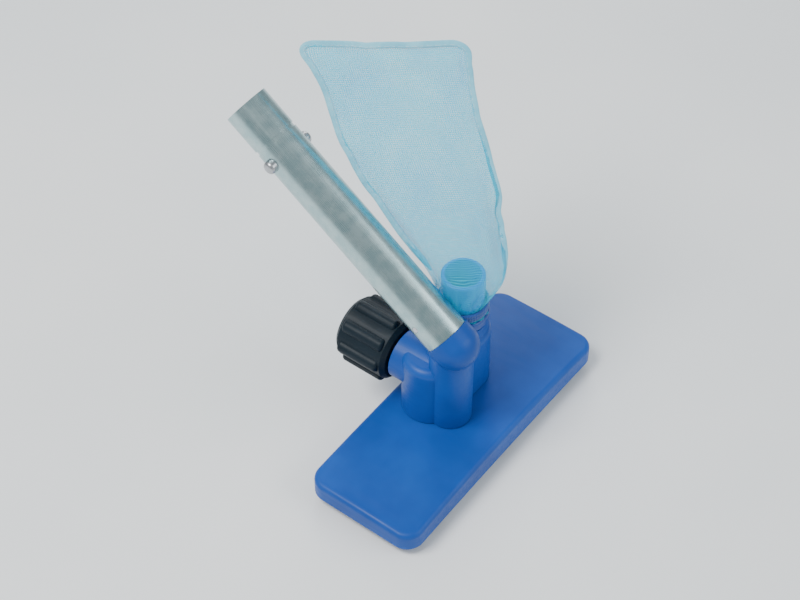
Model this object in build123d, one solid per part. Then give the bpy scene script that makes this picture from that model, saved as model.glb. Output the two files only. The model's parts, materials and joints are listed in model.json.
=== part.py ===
from build123d import *
import os
from math import cos, radians, sin, sqrt

# Manual vacuum head for a pool, in millimetres.
# It is modelled about the plate's middle: X runs along the plate, Y towards the user, Z up from the floor.
# Every piece is then shifted along Y, so that the origin lies under the middle of the footprint.

# ---- plate
PLATE_LENGTH = 190.0
PLATE_WIDTH = 76.0
PLATE_CORNER = 11.0
PLATE_WAIST = 0.8          # how far each long side curves in at its middle
WALL = 2.5
SKIRT_BOTTOM = 6.0
CROWN_TOP = 22.0
CROWN_RADIUS = 1130.0
PLATE_EDGE_ROUND = 3.0
SHELL_HOLE = 16.2

# ---- throat and jets
THROAT_X = 21.5
THROAT_Y = 13.0
DUCT_RADIUS = 13.0
SEAT_RADIUS = 14.5         # counterbore that holds the jet ring and the funnel
SEAT_TOP = 58.0
RING_BOTTOM = 44.0
RING_BORE = 9.5
CHANNEL_RADIUS = 11.0
CHANNEL_EDGE = 3.0         # ring wall under and over its channel
NOZZLE_CIRCLE = 11.6
NOZZLE_RADIUS = 1.3
NOZZLE_LENGTH = 7.0
NOZZLE_COUNT = 4
FIT = 0.1                  # gap between pieces that are pushed together
FUNNEL_BORE = 12.0
FUNNEL_BOTTOM = 14.3

# ---- body above the plate
COLUMN_RADIUS = 17.5
COLUMN_TOP = 66.0
PILLAR_RADIUS = 13.0
PILLAR_Y = -1.0
EAR_X = 43.0
EAR_RADIUS = 4.6
EAR_TOP = 31.0
GASKET = 0.8

# ---- outlet spout
SPOUT_BOTTOM = 63.0
SPOUT_RADIUS = 13.0
SPOUT_BORE = 10.8
SPOUT_TOP = 108.0
SOCKET_RADIUS = 15.6
SOCKET_TOP = 72.8
SPOUT_SEAL_Z = 68.0
COLLAR_BOTTOM = 73.0
COLLAR_HEIGHT = 7.0
COLLAR_RADIUS = 16.2

# ---- bag
NECK_BOTTOM = 80.5
NECK_RADIUS = 14.4
CUFF_RADIUS = 15.9
CLOTH = 1.0
BAG_FOOT_Z = 100.0
BAG_FORM_BOTTOM = 89.0
BAG_SIDE = Vector(0.594, -0.797, 0.032).normalized()   # along the bag's top seam
BAG_RISE = Vector(0.191, 0.539, 0.818).normalized()    # from its neck to its top seam
# height along the rise, shift along the side, half width, half depth, share of the full turn
BAG_SECTIONS = (
    (2, 4.0, 21.0, 16.8, 0.45),
    (20, 5.5, 26.4, 17.4, 0.8),
    (45, 2.0, 36.0, 16.2, 1.0),
    (82, 1, 44.0, 14.0, 1.0),
    (122, 0, 47.2, 8.0, 1.0),
    (150, 0, 48.5, 3.2, 1.0),
)

# ---- pole side
STEM_TILT = 35.0
STEM_X = -8.0
STEM_FOOT = Vector(STEM_X, 2.8, 87.8)
STEM_RADIUS = 13.6
STEM_BORE = 12.4
BOSS_RADIUS = 14.6
BOSS_LENGTH = 7.0
SPIGOT_RADIUS = 12.3
SPIGOT_LENGTH = 30.0
FOOTPRINT_REAR = 152.0     # how far behind the plate's middle the stem's end reaches
RIVET_AT = 15.0
RIVET_RADIUS = 2.0
BUTTON_AT = 137.0
BUTTON_RADIUS = 4.0
BUTTON_REACH = 17.6
BUTTON_FLANGE = (8.5, 10.5, 5.2)          # inner face, outer face, radius
GROOVE_AT = 146.0
GROOVE_WIDTH = 2.4
GROOVE_DEPTH = 0.7
SPRING_BEND_AT = 107.0
SPRING_LEAF = 0.6

# ---- hose side
HOSE_Z = 52.5
NECK_START_Y = 8.0         # inside the pillar, so the neck's inner end doesn't show
NECK_END_Y = 33.0
NECK_OUTER = 15.5
PIPE_RADIUS = 11.5
PIPE_BORE = 8.0
PIPE_START_Y = 15.0
CROSS_BORE = 3.8
NUT_BACK_Y = 34.5
NUT_LENGTH = 36.0
NUT_BODY = 19.4
NUT_LOBES = 8
LOBE_RADIUS = 4.4
LOBE_CIRCLE = 17.6
NUT_HOLE = 11.56
NUT_WALL = 12.0
THREAD_RADIUS = 12.8
FLANGE_RADIUS = 12.5
RELIEF_RADIUS = 13.5
WASHER_HEIGHT = 3.0

# ---- underside
BRUSH_Y = 32.5
BRUSH_LENGTH = 156.0
STRIP_WIDTH = 4.0
STRIP_BOTTOM = 8.0
STRIP_TOP = 12.0
TUFT_PITCH = 6.0
TUFT_SIZE = (4.2, 3.4)
BRUSH_SCREW_X = (-66.0, 0.0, 66.0)
BALLAST_X = 63.0
BALLAST_SIZE = (44.0, 40.0, 7.0)
BALLAST_TOP = 15.5
BALLAST_SCREW_DX = 16.0
BOSS_SCREW = 1.4

AXIS = Vector(0, cos(radians(STEM_TILT)), sin(radians(STEM_TILT)))
STEM_END = (FOOTPRINT_REAR - STEM_FOOT.Y - STEM_RADIUS * AXIS.Z) / AXIS.Y
BODY_SCREWS = ((EAR_X, THROAT_Y), (-18.0, 6.0), (-18.0, 20.0), (STEM_X, -8.0))


def stem_plane(distance=0.0):
    return Plane(origin=STEM_FOOT + AXIS * distance, x_dir=(1, 0, 0), z_dir=AXIS)


def rod(plane, radius, length):
    return extrude(plane * Circle(radius), length)


def tube(plane, outer, inner, length):
    return extrude(plane * (Circle(outer) - Circle(inner)), length)


def upright(x, y, bottom, radius, top):
    return rod(Plane((x, y, bottom)), radius, top - bottom)


def throat_rod(bottom, radius, top):
    return upright(THROAT_X, THROAT_Y, bottom, radius, top)


def throat_tube(bottom, outer, inner, top):
    return throat_rod(bottom, outer, top) - throat_rod(bottom, inner, top)


def hose_plane(y):
    return Plane(origin=(STEM_X, y, HOSE_Z), x_dir=(1, 0, 0), z_dir=(0, 1, 0))


def ball_under(offset=0.0):
    """The big sphere whose cap is the plate's crowned top, moved out by an offset, with its seam turned down."""
    return Pos(0, 0, CROWN_TOP - CROWN_RADIUS) * Rot(0, 90, 0) * Sphere(CROWN_RADIUS + offset)


def crown_z(x, y, offset=0.0):
    return CROWN_TOP - CROWN_RADIUS + sqrt((CROWN_RADIUS + offset) ** 2 - x * x - y * y)


def plate_outline(inset=0.0):
    half_l = PLATE_LENGTH / 2 - inset
    half_w = PLATE_WIDTH / 2 - inset
    waist = half_w - PLATE_WAIST
    front = ThreePointArc((-half_l, -half_w), (0, -waist), (half_l, -half_w))
    far = Line((half_l, -half_w), (half_l, half_w))
    rear = ThreePointArc((half_l, half_w), (0, waist), (-half_l, half_w))
    near = Line((-half_l, half_w), (-half_l, -half_w))
    face = make_face([front, far, rear, near])
    return fillet(face.vertices(), PLATE_CORNER - inset)


# ---- plate and what hangs under it
def make_head_shell():
    height = CROWN_TOP - SKIRT_BOTTOM
    outer = extrude(Plane((0, 0, SKIRT_BOTTOM)) * plate_outline(), height + 1) & ball_under()
    rim = outer.edges().filter_by(lambda e: e.center().Z > SKIRT_BOTTOM + 5)
    outer = fillet(rim, PLATE_EDGE_ROUND)
    hollow = extrude(Plane((0, 0, SKIRT_BOTTOM - 1)) * plate_outline(WALL), height + 2) & ball_under(-WALL)
    shell = outer - hollow
    ceiling = hollow & Box(PLATE_LENGTH, PLATE_WIDTH, 60)
    for side in (-1, 1):
        rail = Pos(0, side * BRUSH_Y, STRIP_TOP + 10) * Box(BRUSH_LENGTH + 4, STRIP_WIDTH - 0.4, 20)
        shell += rail & ceiling
        for dx in (-BALLAST_SCREW_DX, BALLAST_SCREW_DX):
            boss = upright(side * BALLAST_X + dx, 0, BALLAST_TOP, 4.0, CROWN_TOP)
            shell += boss & ceiling
    shell -= throat_rod(10, SHELL_HOLE, 30)
    for x, y in BODY_SCREWS:
        shell -= upright(x, y, 10, 1.7, 30)
    for x in BRUSH_SCREW_X:
        for side in (-1, 1):
            shell -= upright(x, side * BRUSH_Y, STRIP_TOP - 1, 1.0, STRIP_TOP + 5)
    for side in (-1, 1):
        for dx in (-BALLAST_SCREW_DX, BALLAST_SCREW_DX):
            shell -= upright(side * BALLAST_X + dx, 0, BALLAST_TOP - 1, BOSS_SCREW, BALLAST_TOP + 3.5)
    return shell


def tuft_places():
    count = int(BRUSH_LENGTH / TUFT_PITCH)
    places = [(i - (count - 1) / 2) * TUFT_PITCH for i in range(count)]
    return [x for x in places if all(abs(x - s) > 4.5 for s in BRUSH_SCREW_X)]


def make_brush(side):
    strip_height = STRIP_TOP - STRIP_BOTTOM
    y = side * BRUSH_Y
    strip = Pos(0, y, STRIP_BOTTOM + strip_height / 2) * Box(BRUSH_LENGTH, STRIP_WIDTH, strip_height)
    tuft = Box(*TUFT_SIZE, STRIP_BOTTOM + 1)
    strip += [Pos(x, y, (STRIP_BOTTOM + 1) / 2) * tuft for x in tuft_places()]
    for x in BRUSH_SCREW_X:
        strip -= upright(x, y, STRIP_BOTTOM - 1, 1.1, STRIP_TOP + 1)
    return strip


def screw(x, y, head_z, head_radius, shank_radius, tip_z):
    """A pan-head screw that goes up from head_z, with its head below."""
    head = upright(x, y, head_z - 1.6, head_radius, head_z)
    slot = Pos(x, y, head_z - 1.6) * Box(head_radius * 1.5, 0.7, 1.2)
    return head + upright(x, y, head_z - 0.5, shank_radius, tip_z) - slot


def make_brush_screws():
    return [
        screw(x, side * BRUSH_Y, STRIP_BOTTOM, 1.9, 0.95, STRIP_TOP + 4.5)
        for x in BRUSH_SCREW_X
        for side in (-1, 1)
    ]


def make_ballast(side):
    length, width, height = BALLAST_SIZE
    bar = Pos(side * BALLAST_X, 0, BALLAST_TOP - height / 2) * Box(length, width, height)
    bar = chamfer(bar.edges().filter_by(Axis.Z), 3)
    for dx in (-BALLAST_SCREW_DX, BALLAST_SCREW_DX):
        bar -= upright(side * BALLAST_X + dx, 0, BALLAST_TOP - height - 1, 1.6, BALLAST_TOP + 1)
    return bar


def make_ballast_screws():
    head_z = BALLAST_TOP - BALLAST_SIZE[2]
    return [
        screw(side * BALLAST_X + dx, 0, head_z, 2.8, 1.35, BALLAST_TOP + 3)
        for side in (-1, 1)
        for dx in (-BALLAST_SCREW_DX, BALLAST_SCREW_DX)
    ]


# ---- body on the plate
def body_outline(inset=0.0):
    """The body's foot: a slot round the throat and the hose axis, the pillar's round foot and a screw ear."""
    radius = COLUMN_RADIUS - inset
    slot = Pos((STEM_X + THROAT_X) / 2, THROAT_Y) * SlotCenterToCenter(THROAT_X - STEM_X, 2 * radius)
    pillar = Pos(STEM_X, PILLAR_Y) * Circle(PILLAR_RADIUS - inset)
    return slot + pillar


def ear(inset, bottom, top):
    width = 2 * (EAR_RADIUS - inset)
    arm = Pos((THROAT_X + EAR_X) / 2, THROAT_Y, (bottom + top) / 2) * Box(EAR_X - THROAT_X, width, top - bottom)
    return arm + upright(EAR_X, THROAT_Y, bottom, EAR_RADIUS - inset, top)


def make_jet_housing():
    bottom = CROWN_TOP - 6
    slot = Pos((STEM_X + THROAT_X) / 2, THROAT_Y) * SlotCenterToCenter(THROAT_X - STEM_X, 2 * COLUMN_RADIUS)
    body = extrude(Plane((0, 0, bottom)) * slot, COLUMN_TOP - bottom)
    body = fillet(body.faces().sort_by(Axis.Z)[-1].edges(), 5)
    body += ear(0, bottom, EAR_TOP)
    body += throat_rod(bottom, SOCKET_RADIUS, SOCKET_TOP)
    body += rod(hose_plane(NECK_START_Y), NECK_OUTER, NECK_END_Y - NECK_START_Y)

    ball_centre = stem_plane(-BOSS_LENGTH).origin
    pillar = upright(STEM_X, PILLAR_Y, bottom, PILLAR_RADIUS, ball_centre.Z)
    boss = rod(stem_plane(-BOSS_LENGTH), BOSS_RADIUS, BOSS_LENGTH) + Pos(*ball_centre) * Sphere(BOSS_RADIUS)
    body += (pillar + boss) - rod(stem_plane(0), 40, 40)
    body -= ball_under(GASKET)
    body += throat_rod(CROWN_TOP - WALL, SHELL_HOLE - 2 * FIT, CROWN_TOP + 2)
    body += rod(stem_plane(-4), SPIGOT_RADIUS, SPIGOT_LENGTH + 4)

    body -= throat_rod(SPOUT_BOTTOM, SPOUT_RADIUS + FIT / 2, SPOUT_TOP)
    body -= throat_rod(SEAT_TOP - 1, DUCT_RADIUS, SPOUT_BOTTOM + 1)
    body -= throat_rod(10, SEAT_RADIUS, SEAT_TOP)
    body -= rod(hose_plane(THROAT_Y), PIPE_BORE, 40)
    body -= Pos(*hose_plane(THROAT_Y).origin) * Sphere(PIPE_BORE)
    body -= rod(hose_plane(PIPE_START_Y - FIT), PIPE_RADIUS + FIT / 2, 60)
    cross = Plane(origin=(STEM_X, THROAT_Y, (RING_BOTTOM + SEAT_TOP) / 2), x_dir=(0, 1, 0), z_dir=(1, 0, 0))
    body -= rod(cross, CROSS_BORE, THROAT_X - STEM_X)
    for x, y in BODY_SCREWS:
        body -= upright(x, y, 10, 1.4, EAR_TOP - 2)
    return body - rod(rivet_plane(), RIVET_RADIUS + FIT / 2, 60)


def make_housing_gasket():
    plain = extrude(Plane((0, 0, 10)) * body_outline(1.0), 30) + ear(0.8, 10, 40)
    ring = (plain & ball_under(GASKET)) - ball_under()
    ring -= throat_rod(10, SHELL_HOLE + FIT, 40)
    for x, y in BODY_SCREWS:
        ring -= upright(x, y, 10, 1.7, 40)
    return ring


def make_housing_screws():
    return [screw(x, y, crown_z(x, y, -WALL) - 0.15, 2.8, 1.35, EAR_TOP - 3) for x, y in BODY_SCREWS]


def make_intake_funnel():
    body = throat_rod(FUNNEL_BOTTOM, SEAT_RADIUS - FIT, RING_BOTTOM - FIT)
    body += throat_rod(FUNNEL_BOTTOM, SEAT_RADIUS + 1.6, FUNNEL_BOTTOM + 2.2)
    body -= throat_rod(FUNNEL_BOTTOM - 1, FUNNEL_BORE, RING_BOTTOM + 1)
    mouth = body.edges().filter_by(GeomType.CIRCLE).filter_by(lambda e: abs(e.radius - FUNNEL_BORE) < 0.01)
    return chamfer(mouth.sort_by(Axis.Z)[0], 1.8)


def nozzle_spots():
    return [Pos(THROAT_X, THROAT_Y, 0) * spot for spot in PolarLocations(NOZZLE_CIRCLE, NOZZLE_COUNT, 45)]


def make_jet_ring():
    ring = throat_tube(RING_BOTTOM, SEAT_RADIUS - FIT, RING_BORE, SEAT_TOP - FIT)
    ring -= throat_tube(RING_BOTTOM + CHANNEL_EDGE, SEAT_RADIUS + 1, CHANNEL_RADIUS, SEAT_TOP - CHANNEL_EDGE)
    for spot in nozzle_spots():
        ring -= spot * Pos(0, 0, SEAT_TOP) * Cylinder(NOZZLE_RADIUS + FIT / 4, 10)
    return ring


def make_jet_nozzles():
    barrel = Cylinder(NOZZLE_RADIUS, NOZZLE_LENGTH) - Cylinder(NOZZLE_RADIUS / 2, NOZZLE_LENGTH + 1)
    return [spot * Pos(0, 0, SEAT_TOP) * barrel for spot in nozzle_spots()]


# ---- outlet and bag
def make_outlet_spout():
    spout = throat_tube(SPOUT_BOTTOM + FIT, SPOUT_RADIUS, SPOUT_BORE, SPOUT_TOP)
    rims = spout.edges().filter_by(GeomType.CIRCLE).filter_by(lambda e: abs(e.radius - SPOUT_RADIUS) < 0.01)
    spout = fillet(rims.sort_by(Axis.Z)[-1], 1.2)
    return spout - throat_tube(SPOUT_SEAL_Z - 1.1, SPOUT_RADIUS + 1, SPOUT_RADIUS - 1, SPOUT_SEAL_Z + 1.1)


def make_spout_seal():
    return Pos(THROAT_X, THROAT_Y, SPOUT_SEAL_Z) * Torus(SPOUT_RADIUS - 0.5, 0.45)


def make_bag_collar():
    ring = throat_rod(COLLAR_BOTTOM, COLLAR_RADIUS, COLLAR_BOTTOM + COLLAR_HEIGHT)
    ring = fillet(ring.edges().filter_by(GeomType.CIRCLE), 1.8)
    return ring - throat_rod(COLLAR_BOTTOM - 1, SPOUT_RADIUS + FIT / 2, COLLAR_BOTTOM + COLLAR_HEIGHT + 1)


def bag_form(inset):
    """The bag's pillow shape, which turns from upright at its neck to the bag's own lean, drawn in by an inset."""
    across = BAG_RISE.cross(BAG_SIDE).normalized()
    full_turn = BAG_SIDE.cross(across)
    foot = Vector(THROAT_X, THROAT_Y, BAG_FOOT_Z)
    top = BAG_SECTIONS[-1][0] - inset
    neck_plane = Plane(origin=(THROAT_X, THROAT_Y, BAG_FORM_BOTTOM + inset), x_dir=(BAG_SIDE.X, BAG_SIDE.Y, 0))
    faces = [neck_plane * Circle(NECK_RADIUS - inset)]
    for height, shift, half_width, half_depth, turn in BAG_SECTIONS:
        origin = foot + BAG_RISE * min(height, top) + BAG_SIDE * shift
        normal = (Vector(0, 0, 1 - turn) + full_turn * turn).normalized()
        plane = Plane(origin=origin, x_dir=BAG_SIDE - normal * BAG_SIDE.dot(normal), z_dir=normal)
        faces.append(plane * Ellipse(half_width - inset, half_depth - inset))
    return loft(faces)


def make_debris_bag():
    outside = bag_form(0) + throat_rod(NECK_BOTTOM, NECK_RADIUS, BAG_FORM_BOTTOM)
    inside = bag_form(CLOTH) + throat_rod(NECK_BOTTOM - 1, NECK_RADIUS - CLOTH, BAG_FORM_BOTTOM + CLOTH)
    return outside - inside


def make_bag_cuff():
    cuff = throat_tube(NECK_BOTTOM + 1, CUFF_RADIUS, NECK_RADIUS + FIT, NECK_BOTTOM + 7.5)
    return fillet(cuff.edges().filter_by(GeomType.CIRCLE), 0.5)


# ---- hose inlet
def make_inlet_pipe():
    flange_y = NUT_BACK_Y + NUT_WALL + 0.2
    pipe = rod(hose_plane(PIPE_START_Y), PIPE_RADIUS, flange_y - PIPE_START_Y)
    pipe += rod(hose_plane(flange_y), FLANGE_RADIUS, 2.8)
    pipe -= tube(hose_plane(PIPE_START_Y + 6), PIPE_RADIUS + 1, PIPE_RADIUS - 1, 2.2)
    return pipe - rod(hose_plane(PIPE_START_Y - 1), PIPE_BORE, 60)


def make_inlet_seal():
    return hose_plane(PIPE_START_Y + 7.1).location * Torus(PIPE_RADIUS - 0.5, 0.45)


def make_hose_nut():
    body = rod(hose_plane(NUT_BACK_Y), NUT_BODY, NUT_LENGTH)
    body = chamfer(body.edges().filter_by(GeomType.CIRCLE), 2.5)
    lobe_plane = hose_plane(NUT_BACK_Y + 3.5)
    for spot in PolarLocations(LOBE_CIRCLE, NUT_LOBES):
        lobe = extrude(Circle(LOBE_RADIUS), NUT_LENGTH - 7)
        lobe = fillet(lobe.edges().filter_by(GeomType.CIRCLE), 2.0)
        body += lobe_plane.location * spot * lobe
    wall_end = NUT_BACK_Y + NUT_WALL
    body -= rod(hose_plane(NUT_BACK_Y - 1), NUT_HOLE, NUT_WALL + 2)
    body -= rod(hose_plane(wall_end), THREAD_RADIUS, NUT_LENGTH)
    body -= rod(hose_plane(wall_end + 3.2), RELIEF_RADIUS, WASHER_HEIGHT + 0.4)
    return body


def make_hose_washer():
    return tube(hose_plane(NUT_BACK_Y + NUT_WALL + 3.05), FLANGE_RADIUS - 0.1, PIPE_BORE + 1.2, WASHER_HEIGHT)


def make_inlet_screen():
    start = NUT_BACK_Y + NUT_WALL + 3.05
    screen = rod(hose_plane(start), PIPE_BORE + 1.1, 1.2)
    mesh_plane = hose_plane(start - 1)
    holes = [mesh_plane.location * spot * Cylinder(0.9, 8) for spot in HexLocations(1.4, 5, 5)]
    return screen - holes


# ---- stem, rivet and snap buttons
def rivet_plane():
    centre = STEM_FOOT + AXIS * RIVET_AT
    return Plane(origin=centre - Vector(30, 0, 0), x_dir=(0, 1, 0), z_dir=(1, 0, 0))


def make_stem_tube():
    stem = tube(stem_plane(FIT), STEM_RADIUS, STEM_BORE, STEM_END - FIT)
    stem -= tube(stem_plane(GROOVE_AT), STEM_RADIUS + 1, STEM_RADIUS - GROOVE_DEPTH, GROOVE_WIDTH)
    stem -= rod(rivet_plane(), RIVET_RADIUS + FIT / 2, 60)
    for side in (-1, 1):
        stem -= rod(button_plane(side, 5), BUTTON_RADIUS + 0.06, 20)
    return stem


def make_stem_rivet():
    pin = rod(rivet_plane().offset(30 - STEM_RADIUS), RIVET_RADIUS, 2 * STEM_RADIUS)
    return chamfer(pin.edges().filter_by(GeomType.CIRCLE), 0.3)


def button_plane(side, reach):
    origin = STEM_FOOT + AXIS * BUTTON_AT + Vector(side * reach, 0, 0)
    return Plane(origin=origin, x_dir=(0, 1, 0), z_dir=(side, 0, 0))


def make_snap_button(side):
    inner, outer, radius = BUTTON_FLANGE
    pin = rod(button_plane(side, inner), BUTTON_RADIUS, BUTTON_REACH - inner)
    pin = fillet(pin.edges().filter_by(GeomType.CIRCLE).sort_by(lambda e: side * e.center().X)[-1], 2.2)
    return pin + rod(button_plane(side, inner), radius, outer - inner)


def make_snap_spring():
    """A strip bent to a V, whose two ends press on the buttons' flanges."""
    spread = BUTTON_FLANGE[0] - SPRING_LEAF - FIT
    length = BUTTON_AT + 4 - SPRING_BEND_AT
    plane = Plane(origin=STEM_FOOT + AXIS * SPRING_BEND_AT, x_dir=AXIS, z_dir=(0, -AXIS.Z, AXIS.Y))
    outer = [(0, -1.2), (4, -3.0), (length - 10, -spread - SPRING_LEAF), (length, -spread - SPRING_LEAF)]
    inner = [(length, -spread), (length - 10, -spread), (4, -3.0 + SPRING_LEAF), (SPRING_LEAF, -0.9)]
    half = outer + inner
    mirrored = [(x, -y) for x, y in reversed(half)]
    outline = make_face(Polyline(*half, *mirrored, close=True))
    return extrude(plane * Pos(0, 0, -3) * outline, 6)


NODES = {
    "head_shell": make_head_shell,
    "jet_housing": make_jet_housing,
    "housing_gasket": make_housing_gasket,
    "housing_screws": make_housing_screws,
    "intake_funnel": make_intake_funnel,
    "jet_ring": make_jet_ring,
    "jet_nozzles": make_jet_nozzles,
    "outlet_spout": make_outlet_spout,
    "spout_seal": make_spout_seal,
    "bag_collar": make_bag_collar,
    "bag_cuff": make_bag_cuff,
    "debris_bag": make_debris_bag,
    "inlet_pipe": make_inlet_pipe,
    "inlet_seal": make_inlet_seal,
    "hose_nut": make_hose_nut,
    "hose_washer": make_hose_washer,
    "inlet_screen": make_inlet_screen,
    "front_brush": lambda: make_brush(-1),
    "rear_brush": lambda: make_brush(1),
    "brush_screws": make_brush_screws,
    "ballast_near": lambda: make_ballast(-1),
    "ballast_far": lambda: make_ballast(1),
    "ballast_screws": make_ballast_screws,
    "stem_tube": make_stem_tube,
    "stem_rivet": make_stem_rivet,
    "snap_spring": make_snap_spring,
    "snap_button_near": lambda: make_snap_button(-1),
    "snap_button_far": lambda: make_snap_button(1),
}

os.makedirs("parts", exist_ok=True)
pieces = {}
for name, make in NODES.items():
    made = make()
    pieces[name] = made if isinstance(made, list) else [made]
front_edge = min(solid.bounding_box().min.Y for solid in pieces["head_shell"])
shift = Pos(0, -(front_edge + FOOTPRINT_REAR) / 2, 0)
for name, solids in pieces.items():
    moved = [shift * solid for solid in solids]
    shape = moved[0] if len(moved) == 1 else Compound(children=moved)
    export_step(shape, f"parts/{name}.step")
print(f"stem end {STEM_END:.2f} mm past its foot, everything moved {shift.position.Y:.3f} mm along Y")
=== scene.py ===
import json
import random
from math import atan2, cos, exp, pi, radians, sin, sqrt

import bmesh
import bpy
import numpy as np
from mathutils import Matrix, Vector, noise


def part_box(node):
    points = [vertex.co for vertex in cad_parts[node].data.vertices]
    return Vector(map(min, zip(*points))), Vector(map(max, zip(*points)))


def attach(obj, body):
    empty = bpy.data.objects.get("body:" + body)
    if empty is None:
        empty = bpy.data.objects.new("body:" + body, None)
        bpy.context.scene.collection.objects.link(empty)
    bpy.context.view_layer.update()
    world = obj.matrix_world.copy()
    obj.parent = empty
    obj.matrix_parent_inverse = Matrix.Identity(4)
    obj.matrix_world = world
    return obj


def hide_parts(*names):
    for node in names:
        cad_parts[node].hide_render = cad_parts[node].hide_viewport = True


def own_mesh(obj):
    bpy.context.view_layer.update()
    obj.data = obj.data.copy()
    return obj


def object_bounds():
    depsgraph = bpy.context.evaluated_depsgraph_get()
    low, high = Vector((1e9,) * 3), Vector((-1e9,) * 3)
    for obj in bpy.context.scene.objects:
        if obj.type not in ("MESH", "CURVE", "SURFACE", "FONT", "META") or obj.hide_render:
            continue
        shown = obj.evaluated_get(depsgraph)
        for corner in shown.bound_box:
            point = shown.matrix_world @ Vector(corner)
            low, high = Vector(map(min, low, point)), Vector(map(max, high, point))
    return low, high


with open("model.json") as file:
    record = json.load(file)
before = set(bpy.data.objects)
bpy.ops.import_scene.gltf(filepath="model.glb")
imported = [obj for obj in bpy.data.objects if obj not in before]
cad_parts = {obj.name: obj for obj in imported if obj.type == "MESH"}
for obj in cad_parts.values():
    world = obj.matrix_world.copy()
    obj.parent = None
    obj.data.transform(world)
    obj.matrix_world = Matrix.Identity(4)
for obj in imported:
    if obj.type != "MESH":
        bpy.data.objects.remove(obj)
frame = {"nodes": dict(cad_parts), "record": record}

# The looks of the manual vacuum head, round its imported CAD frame. Metres, row frame, +Z up.
CAD_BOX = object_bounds()
MM = 0.001
HEAD = "head"
random.seed(11)

# ---- places that the frame gives
spout_low, spout_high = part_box("outlet_spout")
cuff_low, cuff_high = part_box("bag_cuff")
shell_low, shell_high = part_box("head_shell")
nut_low, nut_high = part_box("hose_nut")
THROAT = Vector(((spout_low.x + spout_high.x) / 2, (spout_low.y + spout_high.y) / 2, 0))
SPOUT_RADIUS = (spout_high.x - spout_low.x) / 2
CUFF_RADIUS = (cuff_high.x - cuff_low.x) / 2
SHELL_MIDDLE = (shell_low + shell_high) / 2
NUT_AXIS = (nut_low + nut_high) / 2
POLE = next(m for m in frame["record"]["mounts"] if m["name"] == "pole_stem")
STEM_AXIS = Vector(POLE["axis"]).normalized()
STEM_POINT = Vector(POLE["pos_m"])
STEM_RADIUS = 13.6 * MM
STEM_TILT = atan2(STEM_AXIS.z, STEM_AXIS.y)


# ---- making meshes
def linked(name, data):
    """A new object in the scene for a mesh, a light or a camera."""
    made = bpy.data.objects.new(name, data)
    bpy.context.scene.collection.objects.link(made)
    return made


def new_object(name, points, faces):
    """A smooth-shaded mesh object from points and faces."""
    mesh = bpy.data.meshes.new(name)
    mesh.from_pydata([tuple(p) for p in points], [], faces)
    mesh.update()
    mesh.polygons.foreach_set("use_smooth", [True] * len(mesh.polygons))
    return linked(name, mesh)


def from_bmesh(name, shape):
    """A new object that holds a bmesh, which is freed."""
    mesh = bpy.data.meshes.new(name)
    shape.to_mesh(mesh)
    shape.free()
    return linked(name, mesh)


def apply_modifiers(made):
    """The object's shown mesh becomes its own mesh."""
    graph = bpy.context.evaluated_depsgraph_get()
    mesh = bpy.data.meshes.new_from_object(made.evaluated_get(graph))
    made.modifiers.clear()
    made.data = mesh
    return made


def outward(made):
    """Turns every face to look out of its closed shell."""
    shape = bmesh.new()
    shape.from_mesh(made.data)
    bmesh.ops.recalc_face_normals(shape, faces=shape.faces)
    shape.to_mesh(made.data)
    shape.free()
    return made


def ring_faces(start, rows, columns, closed_rows=False):
    """Quads over a grid of rows, each a closed ring of columns."""
    faces = []
    for i in range(rows if closed_rows else rows - 1):
        for j in range(columns):
            a, b = i * columns, ((i + 1) % rows) * columns
            k = (j + 1) % columns
            faces.append((start + a + j, start + a + k, start + b + k, start + b + j))
    return faces


def set_weave(made, weave):
    """Stores each point's place on the flat cloth, which the woven materials read."""
    spots = made.data.attributes.new("weave", "FLOAT_VECTOR", "POINT")
    spots.data.foreach_set("vector", [v for w in weave for v in w])


def end_caps(start, rows, columns):
    """The two faces that close a grid of rows at its first and its last row."""
    last = start + (rows - 1) * columns
    return [tuple(range(start, start + columns)), tuple(reversed(range(last, last + columns)))]


def finish_piece(made, body, slot_name, material, *stands_for):
    """Gives a piece its material and the body it rides on, and hides the nodes that it stands for. Its
    slot_name is not used.
    """
    made.data.materials.clear()
    made.data.materials.append(material)
    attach(made, body)
    if stands_for:
        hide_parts(*stands_for)
    return made


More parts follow.
